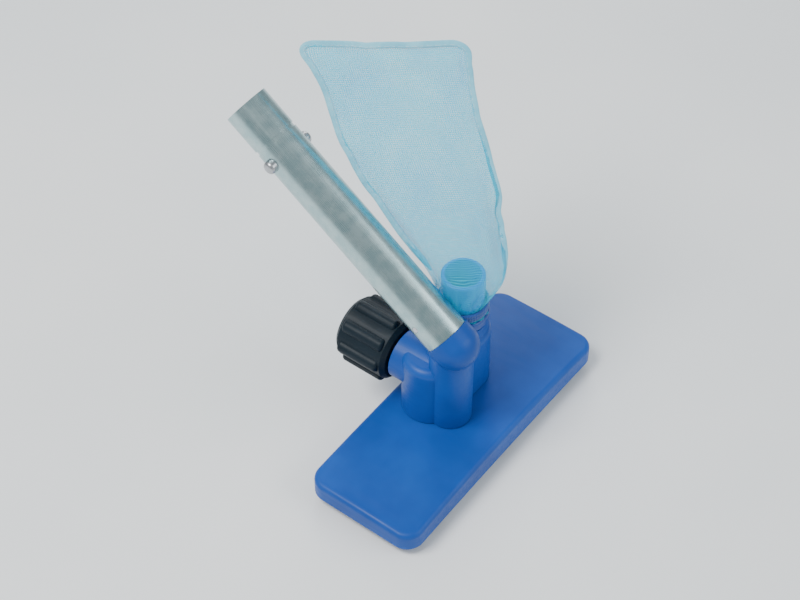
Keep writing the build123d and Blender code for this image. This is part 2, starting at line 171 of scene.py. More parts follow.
# ---- making materials
class Look:
    """A material's node tree, with short calls for the nodes that are used here."""

    def __init__(self, name, rough=0.5, metal=0.0, **sockets):
        self.material = bpy.data.materials.new(name)
        self.material.use_nodes = True
        self.tree = self.material.node_tree
        self.shader = self.tree.nodes["Principled BSDF"]
        self.shader.inputs["Roughness"].default_value = rough
        self.shader.inputs["Metallic"].default_value = metal
        for key, value in sockets.items():
            self.shader.inputs[key.replace("_", " ")].default_value = value
        self.place = self.tree.nodes.new("ShaderNodeTexCoord").outputs["Object"]

    def node(self, kind, values=(), **settings):
        made = self.tree.nodes.new("ShaderNode" + kind)
        for key, value in settings.items():
            setattr(made, key, value)
        for key, value in dict(values).items():
            if isinstance(value, bpy.types.NodeSocket):
                self.tree.links.new(value, made.inputs[key])
            else:
                made.inputs[key].default_value = value
        return made

    def turned(self, tilt=0.0, scale=(1, 1, 1)):
        """Object coordinates turned back by a tilt about X, then scaled."""
        turn = self.node("Mapping", {"Vector": self.place, "Rotation": (-tilt, 0, 0)})
        return self.node("Mapping", {"Vector": turn.outputs[0], "Scale": scale}).outputs[0]

    def noise(self, scale, detail=2.0, roughness=0.5, place=None):
        values = {"Vector": place or self.place, "Scale": scale}
        values.update({"Detail": detail, "Roughness": roughness})
        return self.node("TexNoise", values).outputs["Fac"]

    def math(self, operation, a, b=0.0, clamp=False):
        return self.node("Math", {0: a, 1: b}, operation=operation, use_clamp=clamp).outputs[0]

    def fit(self, value, low, high, to_low=0.0, to_high=1.0):
        values = {"Value": value, "From Min": low, "From Max": high, "To Min": to_low, "To Max": to_high}
        return self.node("MapRange", values, interpolation_type="SMOOTHSTEP").outputs[0]

    def mix(self, share, first, second):
        made = self.node("Mix", data_type="RGBA")
        for key, value in ((0, share), (6, first), (7, second)):
            if isinstance(value, bpy.types.NodeSocket):
                self.tree.links.new(value, made.inputs[key])
            else:
                made.inputs[key].default_value = value if key == 0 else (*value, 1)
        return made.outputs[2]

    def bump(self, height, depth, strength=1.0, under=None):
        values = {"Height": height, "Distance": depth, "Strength": strength}
        if under is not None:
            values["Normal"] = under
        return self.node("Bump", values).outputs[0]

    def set(self, socket, value):
        self.tree.links.new(value, self.shader.inputs[socket])

    def height(self):
        return self.node("SeparateXYZ", {"Vector": self.place}).outputs[2]


def moulded(name, dark, light, rough, grain=1500, depth=0.04 * MM, worn_below=None, **sockets):
    """Injection-moulded plastic: slight clouds in its colour, spark grain, and fine rubbed lines."""
    look = Look(name, **sockets)
    clouds = look.fit(look.noise(26, 3), 0.3, 0.7)
    colour = look.mix(clouds, dark, light)
    rubbed = look.noise(9, 4, 0.7, look.turned(0.0, (60, 3, 60)))
    gloss = look.fit(rubbed, 0.35, 0.75, rough[0], rough[1])
    if worn_below is not None:
        low_down = look.fit(look.height(), worn_below, worn_below - 4 * MM)
        scuff = look.fit(look.math("MULTIPLY", low_down, look.noise(300, 4, 0.7)), 0.42, 0.62)
        rubbed_light = tuple(min(1, v * 1.5 + 0.08) for v in light)
        colour = look.mix(look.math("MULTIPLY", scuff, 0.35), colour, rubbed_light)
        gloss = look.math("ADD", gloss, look.math("MULTIPLY", scuff, 0.25))
    look.set("Base Color", colour)
    look.set("Roughness", gloss)
    fine = look.bump(look.noise(grain, 2), depth, 0.6)
    waves = look.bump(look.noise(45, 2), 0.25 * MM, 0.25, fine)
    look.set("Normal", look.bump(rubbed, 0.02 * MM, 0.5, waves))
    return look.material


def metal(name, dark, light, rough, stretch, tilt=0.0, scale=40, depth=0.02 * MM, **sockets):
    """Metal with fine drawn or turned lines along the directions that stretch leaves small."""
    look = Look(name, metal=1.0, **sockets)
    place = look.turned(tilt, stretch)
    lines = look.noise(scale, 5, 0.65, place)
    clouds = look.noise(140, 4)
    look.set("Base Color", look.mix(look.fit(clouds, 0.3, 0.7), dark, light))
    mixed = look.math("ADD", look.math("MULTIPLY", lines, 0.75), look.math("MULTIPLY", clouds, 0.25))
    look.set("Roughness", look.fit(mixed, 0.3, 0.7, rough[0], rough[1]))
    look.set("Normal", look.bump(lines, depth, 0.5))
    return look.material


def rubber(name, dark, light):
    """Matt rubber with a fine grain."""
    look = Look(name, rough=0.75)
    look.set("Base Color", look.mix(look.fit(look.noise(90, 4), 0.3, 0.7), dark, light))
    look.set("Roughness", look.fit(look.noise(400, 3), 0.3, 0.7, 0.62, 0.85))
    look.set("Normal", look.bump(look.noise(1200, 3), 0.05 * MM, 0.6))
    return look.material


def coated(name, dark, light):
    """Dip-coated steel: orange-peel skin."""
    look = Look(name, rough=0.45, Coat_Weight=0.2)
    look.set("Base Color", look.mix(look.fit(look.noise(70, 4), 0.3, 0.7), dark, light))
    look.set("Roughness", look.fit(look.noise(160, 3), 0.3, 0.7, 0.35, 0.6))
    look.set("Normal", look.bump(look.noise(420, 2), 0.08 * MM, 0.7))
    return look.material


def net(name, thread, gap, pitch):
    """An open knitted net on the mesh's "weave" attribute: strands, their knots, and stains."""
    look = Look(name, rough=0.7, Sheen_Weight=0.12, Specular_IOR_Level=0.2)
    weave = look.node("Attribute", attribute_name="weave").outputs["Vector"]
    parts = look.node("SeparateXYZ", {"Vector": weave})
    uneven = look.math("SUBTRACT", look.noise(120, 2, 0.5, weave), 0.5)
    wobble = look.math("MULTIPLY", uneven, 0.7 * MM)
    ridges = []
    for axis in (0, 1):
        moved = look.math("ADD", parts.outputs[axis], wobble)
        ridges.append(look.math("PINGPONG", look.math("DIVIDE", moved, pitch), 0.5))
    near = look.node("Math", {0: ridges[0], 1: ridges[1]}, operation="MINIMUM").outputs[0]
    strand = look.fit(near, 0.20, 0.08)
    knot = look.fit(look.math("ADD", ridges[0], ridges[1]), 0.24, 0.12)
    cover = look.math("MAXIMUM", strand, knot)
    stain = look.fit(look.noise(18, 4, 0.6), 0.35, 0.75)
    look.set("Base Color", look.mix(stain, thread, gap))
    alpha = look.math("ADD", look.math("MULTIPLY", cover, 0.32), look.math("MULTIPLY", stain, 0.05))
    look.set("Alpha", look.math("ADD", alpha, 0.1, clamp=True))
    look.set("Roughness", look.fit(look.noise(700, 2), 0.3, 0.7, 0.6, 0.8))
    look.set("Normal", look.bump(cover, 0.12 * MM, 0.8))
    return look.material


def woven(name, dark, light, pitch):
    """Close tape: a tight over-and-under weave, two crossed waves on the mesh's "weave" attribute."""
    look = Look(name, rough=0.8, Sheen_Weight=0.4)
    weave = look.node("Attribute", attribute_name="weave").outputs["Vector"]
    parts = look.node("SeparateXYZ", {"Vector": weave})
    waves = [look.math("SINE", look.math("MULTIPLY", parts.outputs[i], 2 * pi / pitch)) for i in (0, 1)]
    cross = look.fit(look.math("MULTIPLY", waves[0], waves[1]), -0.8, 0.8)
    soil = look.fit(look.noise(60, 4, 0.6), 0.35, 0.75)
    shade = look.mix(soil, light, dark)
    # Painted shade: darker in the hollows between the crossing threads.
    painted_weave_shade = tuple(v * 0.7 for v in dark)
    look.set("Base Color", look.mix(look.math("MULTIPLY", cross, 0.25), shade, painted_weave_shade))
    look.set("Roughness", look.fit(look.noise(900, 2), 0.3, 0.7, 0.7, 0.9))
    look.set("Normal", look.bump(cross, 0.1 * MM, 0.7))
    return look.material


def nylon(name, dark, light):
    """Bristle nylon: streaked along its length, and darker towards the tips."""
    look = Look(
        name, rough=0.4, Subsurface_Weight=0.15, Subsurface_Scale=1 * MM, Transmission_Weight=0.1,
    )
    tips = look.fit(look.height(), 1 * MM, 7 * MM)
    streaks = look.fit(look.noise(500, 2, 0.5, look.turned(0.0, (1, 1, 0.05))), 0.35, 0.65)
    look.set("Base Color", look.mix(tips, dark, look.mix(streaks, light, dark)))
    look.set("Roughness", look.fit(look.noise(350, 2), 0.3, 0.7, 0.32, 0.5))
    look.set("Normal", look.bump(streaks, 0.03 * MM, 0.4))
    return look.material


MATERIALS = {
    "blue_plastic": moulded(
        "moulded_blue", (0.003, 0.058, 0.31), (0.006, 0.08, 0.39), (0.36, 0.52),
        worn_below=11 * MM, Specular_IOR_Level=0.25,
    ),
    "spout_plastic": moulded(
        "moulded_spout_blue", (0.008, 0.075, 0.6), (0.012, 0.1, 0.7), (0.25, 0.4),
        Specular_IOR_Level=0.3,
    ),
    "collar_plastic": moulded(
        "moulded_collar_blue", (0.006, 0.05, 0.27), (0.01, 0.07, 0.34), (0.3, 0.45),
    ),
    "grey_plastic": moulded("moulded_grey", (0.09, 0.1, 0.12), (0.13, 0.145, 0.165), (0.45, 0.65)),
    "nut_plastic": moulded(
        "moulded_black", (0.001, 0.007, 0.013), (0.003, 0.012, 0.021), (0.45, 0.65),
        grain=900, depth=0.1 * MM, Specular_IOR_Level=0.25,
    ),
    "black_rubber": rubber("rubber_black", (0.008, 0.008, 0.008), (0.02, 0.02, 0.02)),
    "stainless": metal(
        "steel_screws", (0.5, 0.51, 0.53), (0.66, 0.67, 0.69), (0.22, 0.42), (30, 30, 4),
    ),
    "button_steel": metal(
        "steel_buttons", (0.42, 0.43, 0.45), (0.55, 0.56, 0.58), (0.25, 0.45), (4, 30, 30),
    ),
    "spring_steel": metal(
        "steel_spring", (0.3, 0.3, 0.32), (0.45, 0.45, 0.47), (0.3, 0.5), (30, 2, 2),
    ),
    "ballast_steel": coated("coated_steel", (0.02, 0.025, 0.03), (0.045, 0.05, 0.055)),
    "nozzle_brass": metal("brass_turned", (0.55, 0.36, 0.12), (0.7, 0.5, 0.2), (0.2, 0.4), (2, 2, 30)),
    # The aluminium's teal tint is painted light: water-tinted light and reflection put into the colour
    # of a grey metal.
    "stem_aluminium": metal(
        "aluminium_satin_painted_teal_light", (0.36, 0.51, 0.53), (0.46, 0.6, 0.61), (0.24, 0.32), (60, 0.6, 60), STEM_TILT,
        scale=30, depth=0.004 * MM,
    ),
    # The net's cyan is partly its own colour and partly painted light: brightened and tinted to stand in
    # for light coming through the cloth.
    "bag_mesh": net("net_polyester_with_painted_light", (0.01, 0.77, 1.0), (0.01, 0.63, 0.95), 1.25 * MM),
    "elastic_band": woven("elastic_woven", (0.15, 0.55, 0.74), (0.27, 0.7, 0.87), 0.9 * MM),
    "bristle_nylon": nylon("nylon_bristle", (0.62, 0.72, 0.82), (0.8, 0.86, 0.92)),
}
CUFF = woven("elastic_blue", (0.004, 0.05, 0.25), (0.008, 0.085, 0.38), 0.9 * MM)
STITCH = woven("thread_polyester", (0.36, 0.66, 0.8), (0.55, 0.8, 0.92), 0.4 * MM)

for row in frame["record"]["subparts"]:
    carried = frame["nodes"][row["node"]]
    carried.data.materials.clear()
    carried.data.materials.append(MATERIALS[row["material_slot"]])


# ---- the bag
SIDE = Vector((0.594, -0.797, 0.032)).normalized()
RISE = Vector((0.191, 0.539, 0.818)).normalized()
ACROSS = RISE.cross(SIDE).normalized()
BAG_FOOT = Vector((THROAT.x, THROAT.y, spout_high.z - 8 * MM))
# In millimetres: height along the rise, shift along the side, half width, half depth. Last, how far the
# section has turned from level to square with the rise.
BAG_SECTIONS = (
    (3, 4.6, 20.9, 16.4, 0.45),
    (20, 2.8, 28.8, 17.0, 0.8),
    (45, 0.2, 37.2, 15.8, 1.0),
    (62, -0.9, 41.6, 14.8, 1.0),
    (82, -1.6, 45.0, 13.4, 1.0),
    (122, -0.6, 46.4, 7.6, 1.0),
    (148, 0, 46.9, 1.2, 1.0),
)
# In millimetres: height above the cuff's lower or upper edge, and the radius of the gathered neck there.
NECK_LOW_RINGS = ((-1.0, 15.2), (0.6, 13.75))
NECK_HIGH_RINGS = ((-0.6, 13.75), (1.2, 14.4))
PANEL_COLUMNS = 64          # steps across one panel, from seam to seam
COLUMNS = 2 * PANEL_COLUMNS
BAG_ROWS = 88
FOLDS = 17                  # gathers round the neck
HEM_START = 14              # the row where the sewn binding begins
BAG_CORNER = 7 * MM         # how round the two top corners are
BAG_GIRTH = 0.19            # the cloth's width round both panels, for the weave
BAG_CLOTH = 0.35 * MM
STEM_GAP = 1.3 * MM         # least room between the cloth and the stem
SPOUT_CLEAR = SPOUT_RADIUS + 0.6 * MM
RIM_DOME = 7 * MM           # how far above the spout's rim the cloth is still held out
SEAM_PRESSED = 2.2 * MM     # the panels lie flat on each other this far in from a seam
SEAM_OPEN = 10 * MM         # and are free of each other this far in
SEAM_HALF_GAP = 0.2 * MM


def bag_keys():
    """The bag's key sections, frill to top: centre, half-width arrow and half-depth arrow."""
    level = Vector((SIDE.x, SIDE.y, 0)).normalized()
    level_depth = Vector((0, 0, 1)).cross(level)
    keys = []
    for edge_z, rings in ((cuff_low.z, NECK_LOW_RINGS), (cuff_high.z, NECK_HIGH_RINGS)):
        for above, radius in rings:
            centre = Vector((THROAT.x, THROAT.y, edge_z + above * MM))
            keys.append((centre, level * radius * MM, level_depth * radius * MM))
    full_turn = SIDE.cross(ACROSS)
    for height, shift, half_width, half_depth, turn in BAG_SECTIONS:
        normal = (Vector((0, 0, 1 - turn)) + full_turn * turn).normalized()
        along = (SIDE - normal * SIDE.dot(normal)).normalized()
        centre = BAG_FOOT + (RISE * height + SIDE * shift) * MM
        keys.append((centre, along * half_width * MM, normal.cross(along) * half_depth * MM))
    return keys


def through(points, at, where):
    """A smooth line through points that stand at the given places, read at where."""
    i = max(k for k in range(len(at) - 1) if at[k] <= where or k == 0)
    span = at[i + 1] - at[i]
    t = (where - at[i]) / span

    def slope(k):
        if k == 0:
            return (points[1] - points[0]) / (at[1] - at[0])
        if k == len(at) - 1:
            return (points[k] - points[k - 1]) / (at[k] - at[k - 1])
        left, right = at[k] - at[k - 1], at[k + 1] - at[k]
        before, after = (points[k] - points[k - 1]) / left, (points[k + 1] - points[k]) / right
        return (before * right + after * left) / (left + right)

    a, b = slope(i) * span, slope(i + 1) * span
    return (
        points[i] * (2 * t**3 - 3 * t**2 + 1) + a * (t**3 - 2 * t**2 + t)
        + points[i + 1] * (-2 * t**3 + 3 * t**2) + b * (t**3 - t**2)
    )


def smooth_step(value, low, high):
    t = min(1.0, max(0.0, (value - low) / (high - low)))
    return t * t * (3 - 2 * t)


def fold_depth(where, neck_end, frill_end):
    """How deep the gathers are: even in the neck, deeper in the frill, and dying out up the bag."""
    out_of_neck = max(0.0, where - neck_end)
    fold = 1.25 * MM * (1 - exp(-out_of_neck / (4 * MM))) * exp(-out_of_neck / (34 * MM))
    fold += 0.32 * MM if where < neck_end else 0.32 * MM * exp(-out_of_neck / (5 * MM))
    return fold + 0.5 * MM if where < frill_end else fold


def build_bag():
    """The two sewn panels as one grid: the object, each row's place on the cloth, the neck's end."""
    keys = bag_keys()
    at = [0.0]
    for before, after in zip(keys, keys[1:]):
        at.append(at[-1] + (after[0] - before[0]).length)
    lines = [[key[i] for key in keys] for i in range(3)]
    neck_end = at[len(NECK_LOW_RINGS) + len(NECK_HIGH_RINGS) - 1]
    points, weave, places = [], [], []
    for i in range(BAG_ROWS):
        where = at[-1] * i / (BAG_ROWS - 1)
        places.append(where)
        centre, wide, deep = (through(line, at, where) for line in lines)
        from_top = at[-1] - where
        if from_top < BAG_CORNER:
            cut_back = BAG_CORNER - sqrt(BAG_CORNER**2 - (BAG_CORNER - from_top) ** 2)
            wide = wide * (1 - cut_back / wide.length)
        flat = smooth_step(where, 0.03, 0.12)
        fold = fold_depth(where, neck_end, at[1])
        for j in range(COLUMNS):
            turn = 2 * pi * j / COLUMNS
            half = turn if turn <= pi else 2 * pi - turn
            x = cos(half) * (1 - flat) + (1 - 2 * half / pi) * flat
            y = (1 - min(1.0, x * x)) ** (0.5 + 0.35 * flat) * (1 if turn <= pi else -1)
            spot = centre + wide * x + deep * y
            out = (wide.normalized() * cos(turn) + deep.normalized() * sin(turn)).normalized()
            ripple = FOLDS * turn + 1.6 * noise.noise(Vector((2 * cos(turn), 2 * sin(turn), where * 12)))
            deepness = 0.75 + 0.5 * noise.noise(Vector((3 * cos(turn), 3 * sin(turn), 7)))
            points.append(spot + out * fold * deepness * cos(ripple))
            weave.append((turn / (2 * pi) * BAG_GIRTH, where, 0.0))
    index = list(range(len(points)))
    last = (BAG_ROWS - 1) * COLUMNS
    for j in range(PANEL_COLUMNS + 1, COLUMNS):      # the top seam: both panels share one edge
        index[last + j] = last + COLUMNS - j
    for j in range(1, PANEL_COLUMNS):
        other = last + COLUMNS - j
        points[last + j] = (points[last + j] + points[other]) / 2
    faces = [tuple(index[v] for v in reversed(face)) for face in ring_faces(0, BAG_ROWS, COLUMNS)]
    made = new_object("bag_net", points, faces)
    set_weave(made, weave)
    shape = bmesh.new()
    shape.from_mesh(made.data)
    loose = [v for v in shape.verts if not v.link_faces]
    bmesh.ops.delete(shape, geom=loose, context="VERTS")
    shape.to_mesh(made.data)
    shape.free()
    return made, places, neck_end


CLOTH_SCALE = 10.0          # cloth is steadier on a larger copy
CLOTH_FRAMES = 26
TOP_HOLD = 0.35             # how firmly the top seam keeps its place
MOVE_CAP = 6.0 * MM         # the furthest that the cloth may move any point
MOVE_CAP_RISE = 60 * MM     # that cap is reached this far above the neck


def swell(made, neck_end, places):
    """Runs Blender's cloth on an enlarged bag, then caps how far each point went."""
    rest = np.array([v.co for v in made.data.vertices], float)
    rows = np.minimum(np.arange(len(rest)) // COLUMNS, BAG_ROWS - 1)
    height = np.array(places)[rows]
    made.data.vertices.foreach_set("co", (rest * CLOTH_SCALE).ravel())
    made.data.update()
    pin = made.vertex_groups.new(name="pin")
    for i, h in enumerate(height):
        held = 1.0 - smooth_step(h, neck_end, neck_end + 8 * MM)
        if rows[i] == BAG_ROWS - 1:
            held = TOP_HOLD
        if held > 0:
            pin.add([i], held, "REPLACE")
    cloth = made.modifiers.new("cloth", "CLOTH")
    settings = cloth.settings
    settings.quality = 6
    settings.mass = 0.2
    settings.tension_stiffness = settings.compression_stiffness = 12
    settings.shear_stiffness = 4
    settings.bending_stiffness = 0.15
    settings.vertex_group_mass = "pin"
    settings.shrink_min = -0.045
    settings.use_pressure = True
    settings.uniform_pressure_force = 1.2
    settings.effector_weights.gravity = 0
    cloth.collision_settings.use_collision = False
    cloth.point_cache.frame_start, cloth.point_cache.frame_end = 1, CLOTH_FRAMES
    for step in range(1, CLOTH_FRAMES + 1):
        bpy.context.scene.frame_set(step)
    graph = bpy.context.evaluated_depsgraph_get()
    moved = np.array([v.co for v in made.evaluated_get(graph).data.vertices], float) / CLOTH_SCALE
    made.modifiers.clear()
    made.vertex_groups.clear()
    bpy.context.scene.frame_set(1)
    change = moved - rest
    far = np.linalg.norm(change, axis=1)
    cap = MOVE_CAP * np.clip((height - neck_end) / MOVE_CAP_RISE, 0.0, 1.0) + 0.1 * MM
    change *= (cap * np.tanh(far / cap) / np.maximum(far, 1e-9))[:, None]
    made.data.vertices.foreach_set("co", (rest + change).ravel())
    made.data.update()


def press_seams(made, places):
    """Lays the two panels flat on each other along their side and top seams, as sewn edges are."""
    spots = [v.co.copy() for v in made.data.vertices]
    for i in range(HEM_START, BAG_ROWS - 1):
        row = spots[i * COLUMNS:(i + 1) * COLUMNS]
        share = smooth_step(i, HEM_START, HEM_START + 10)
        for j in range(1, PANEL_COLUMNS):
            one, other = row[j], row[COLUMNS - j]
            middle, half = (one + other) / 2, (one - other) / 2
            from_side = min((middle - row[0]).length, (middle - row[PANEL_COLUMNS]).length)
            from_seam = min(from_side, places[-1] - places[i])
            kept = 1 - share * (1 - smooth_step(from_seam, SEAM_PRESSED, SEAM_OPEN))
            if half.length * kept > SEAM_HALF_GAP:
                half = half * kept
            else:
                half = half.normalized() * min(half.length, SEAM_HALF_GAP)
            made.data.vertices[i * COLUMNS + j].co = middle + half
            made.data.vertices[i * COLUMNS + COLUMNS - j].co = middle - half


def keep_clear(made):
    """Moves the cloth off the stem and off the spout, and over the spout's rim in a rounded line."""
    for vertex in made.data.vertices:
        along = (vertex.co - STEM_POINT).dot(STEM_AXIS)
        foot = STEM_POINT + STEM_AXIS * along
        out = vertex.co - foot
        need = STEM_RADIUS + STEM_GAP
        if out.length < need and vertex.co.z > cuff_high.z:
            vertex.co += out.normalized() * (need - out.length)
        radial = Vector((vertex.co.x - THROAT.x, vertex.co.y - THROAT.y, 0))
        above_rim = max(0.0, vertex.co.z - spout_high.z)
        need = SPOUT_CLEAR * sqrt(max(0.0, 1 - (above_rim / RIM_DOME) ** 2))
        if radial.length < need:
            vertex.co += radial.normalized() * (need - radial.length)


bag, bag_places, bag_neck_end = build_bag()
swell(bag, bag_neck_end, bag_places)
press_seams(bag, bag_places)
keep_clear(bag)
bag_points = [v.co.copy() for v in bag.data.vertices]
near_seam = [bag_points[i * COLUMNS + PANEL_COLUMNS] for i in range(BAG_ROWS)]
far_seam = [bag_points[i * COLUMNS] for i in range(BAG_ROWS)]
top_seam = bag_points[(BAG_ROWS - 1) * COLUMNS:][:PANEL_COLUMNS + 1]
thick = bag.modifiers.new("thick", "SOLIDIFY")
thick.thickness = BAG_CLOTH
thick.offset = 0
apply_modifiers(bag)
finish_piece(bag, HEAD, "bag_mesh", MATERIALS["bag_mesh"], "debris_bag")


def resampled(points, step):
    """Points a fixed step apart along a line through points."""
    at = [0.0]
    for before, after in zip(points, points[1:]):
        at.append(at[-1] + (after - before).length)
    count = max(2, int(at[-1] / step) + 1)
    spots = np.linspace(0, at[-1], count)
    return [Vector([float(np.interp(s, at, [p[k] for p in points])) for k in range(3)]) for s in spots]


def smoothed(points, times):
    """Each pass moves every inner point halfway to the middle of its neighbours."""
    for _ in range(times):
        points = [points[0]] + [
            (points[i - 1] + points[i] * 2 + points[i + 1]) / 4 for i in range(1, len(points) - 1)
        ] + [points[-1]]
    return points


def edge_frames(points, middle):
    """For each point of an edge line: the point, and the line's directions along, out and up."""
    frames = []
    for i, point in enumerate(points):
        along = (points[min(i + 1, len(points) - 1)] - points[max(i - 1, 0)]).normalized()
        out = along.cross(ACROSS).normalized()
        if out.dot(point - middle) < 0:
            out = -out
        frames.append((point, along, out, along.cross(out).normalized()))
    return frames


HEM_STEP = 1.6 * MM
HEM_SIDES = 16
HEM_OUT, HEM_IN, HEM_HALF = 1.3 * MM, 2.3 * MM, 0.62 * MM     # past the seam, in from it, half thickness


def build_hem(frames):
    """A flat tape folded over the seams: a rounded oblong, puckered, smaller at its two ends."""
    points, weave = [], []
    for i, (point, _, out, up) in enumerate(frames):
        ends = min(1.0, 0.25 + i / 6, 0.25 + (len(frames) - 1 - i) / 6)
        pucker = 0.14 * MM * sin(i * 1.9) + 0.2 * MM * noise.noise(point * 160)
        wide = (HEM_OUT + HEM_IN) / 2 * ends
        for k in range(HEM_SIDES):
            turn = 2 * pi * k / HEM_SIDES
            square = (abs(cos(turn)) ** 8 + abs(sin(turn)) ** 8) ** (-1 / 8)
            x = cos(turn) * square * wide + (HEM_OUT - HEM_IN) / 2 * ends
            y = sin(turn) * square * HEM_HALF * (0.8 + 0.2 * ends)
            points.append(point + out * x + up * (y + pucker))
            weave.append((i * HEM_STEP, x, 0.0))
    faces = ring_faces(0, len(frames), HEM_SIDES) + end_caps(0, len(frames), HEM_SIDES)
    made = outward(new_object("bag_binding", points, faces))
    set_weave(made, weave)
    return made


side_seams = near_seam[HEM_START:-1], far_seam[HEM_START:-1]
hem_line = side_seams[0] + list(reversed(top_seam)) + list(reversed(side_seams[1]))
hem_line = smoothed(resampled(hem_line, HEM_STEP), 3)
hem_frames = edge_frames(hem_line, sum(bag_points, Vector()) / len(bag_points))
hem = build_hem(hem_frames)
finish_piece(hem, HEAD, "elastic_band", MATERIALS["elastic_band"])


def stitches(name, frames, inset, lift, pitch, length, radius):
    """Short raised threads along an edge line, on both faces of it."""
    rings, around = 7, 6
    sunk_ends = 0.28 * MM
    points, faces = [], []
    stops = [0.0]
    for before, after in zip(frames, frames[1:]):
        stops.append(stops[-1] + (after[0] - before[0]).length)
    for n in range(1, int(stops[-1] / pitch) - 1):
        i = min(range(len(stops)), key=lambda k: abs(stops[k] - n * pitch))
        point, along, out, up = frames[i]
        for side in (-1, 1):
            middle = point - out * inset + up * side * lift
            start = len(points)
            for r in range(rings):
                s = r / (rings - 1) * 2 - 1
                size = radius * sqrt(max(0.05, 1 - s**6))
                sink = -side * sunk_ends * s**4
                for k in range(around):
                    turn = 2 * pi * k / around
                    lifted = up * (sink + sin(turn) * size)
                    points.append(middle + along * s * length / 2 + lifted + out * cos(turn) * size)
            faces += ring_faces(start, rings, around) + end_caps(start, rings, around)
    return outward(new_object(name, points, faces))


thread = stitches(
    "bag_stitching", hem_frames, inset=1.3 * MM, lift=HEM_HALF, pitch=2.6 * MM, length=1.9 * MM,
    radius=0.2 * MM,
)
finish_piece(thread, HEAD, "elastic_band", STITCH)


# ---- the elastic cuff at the bag's neck
def build_cuff():
    """A ribbed band with three elastic channels: down its smooth inside, up its crowned outside."""
    around, ribs, channels = 360, 60, 3
    inside_steps, outside_steps = 8, 24
    inner, outer = 14.35 * MM, CUFF_RADIUS - 0.5 * MM
    low, high = cuff_low.z, cuff_high.z
    profile = [(inner, high - (high - low) * k / inside_steps, 0.0) for k in range(inside_steps + 1)]
    for k in range(outside_steps + 1):
        s = k / outside_steps
        crown = sin(pi * s) ** 0.35
        channel = 0.22 * MM * abs(sin(channels * pi * s)) ** 0.5
        radius = inner + (outer - inner) * crown * 0.75 + channel + 0.12 * MM
        profile.append((radius, low + (high - low) * s, crown))
    points, weave = [], []
    for radius, z, crown in profile:
        for j in range(around):
            turn = 2 * pi * j / around
            drift = 0.3 * noise.noise(Vector((4 * cos(turn), 4 * sin(turn), z * 90)))
            rib = 0.42 * MM * crown * abs(sin(ribs / 2 * turn + drift)) ** 0.7
            r = radius + rib
            sag = 0.12 * MM * sin(5 * turn) * crown
            points.append((THROAT.x + r * cos(turn), THROAT.y + r * sin(turn), z + sag))
            weave.append((turn * CUFF_RADIUS, z, 0.0))
    faces = ring_faces(0, len(profile), around, closed_rows=True)
    made = outward(new_object("cuff_elastic", points, faces))
    set_weave(made, weave)
    return made


cuff = build_cuff()
finish_piece(cuff, HEAD, "elastic_band", CUFF, "bag_cuff")


# ---- the brushes
TUFT_COUNT = 26
TUFT_PITCH = 6 * MM
TUFT_RADIUS = 1.62 * MM
TUFT_HOLE_RADIUS = 1.75 * MM
STRIP_HEIGHT = 4 * MM
SCREW_X = (-66 * MM, 0.0, 66 * MM)
SCREW_HOLE_RADIUS = 1.1 * MM
SCREW_ROOM = 4.5 * MM       # no tuft stands nearer to a screw
BRISTLES = 44               # in one tuft
GOLDEN_TURN = 2.39996       # spreads the bristles evenly over a tuft


def build_strip(name, low, high):
    """The moulded strip that holds the tufts: rounded edges, screw holes and a hole round each tuft."""
    shape = bmesh.new()
    bmesh.ops.create_cube(shape, size=1)
    size = Vector((high.x - low.x, high.y - low.y, STRIP_HEIGHT))
    middle = Vector(((low.x + high.x) / 2, (low.y + high.y) / 2, high.z - STRIP_HEIGHT / 2))
    bmesh.ops.scale(shape, vec=size, verts=shape.verts)
    bmesh.ops.translate(shape, vec=middle, verts=shape.verts)
    bmesh.ops.bevel(
        shape, geom=shape.edges[:], offset=0.5 * MM, segments=3, profile=0.5, affect="EDGES",
    )
    strip = from_bmesh(name, shape)
    holes = [(x, middle.z, SCREW_HOLE_RADIUS, 8 * MM, 32) for x in SCREW_X]
    holes += [(x, high.z - STRIP_HEIGHT, TUFT_HOLE_RADIUS, 3 * MM, 24) for x in tuft_places()]
    cutters = bmesh.new()
    for x, z, radius, depth, segments in holes:
        bmesh.ops.create_cone(
            cutters, cap_ends=True, segments=segments, radius1=radius, radius2=radius, depth=depth,
            matrix=Matrix.Translation((middle.x + x, middle.y, z)),
        )
    cutter = from_bmesh("cutters", cutters)
    cut = strip.modifiers.new("holes", "BOOLEAN")
    cut.object, cut.operation, cut.solver = cutter, "DIFFERENCE", "EXACT"
    apply_modifiers(strip)
    bpy.data.objects.remove(cutter)
    strip.data.polygons.foreach_set("use_smooth", [False] * len(strip.data.polygons))
    return strip


def tuft_places():
    """Where the tufts stand along a strip, with room left for its screws."""
    places = [(i - (TUFT_COUNT - 1) / 2) * TUFT_PITCH for i in range(TUFT_COUNT)]
    return [x for x in places if all(abs(x - s) > SCREW_ROOM for s in SCREW_X)]


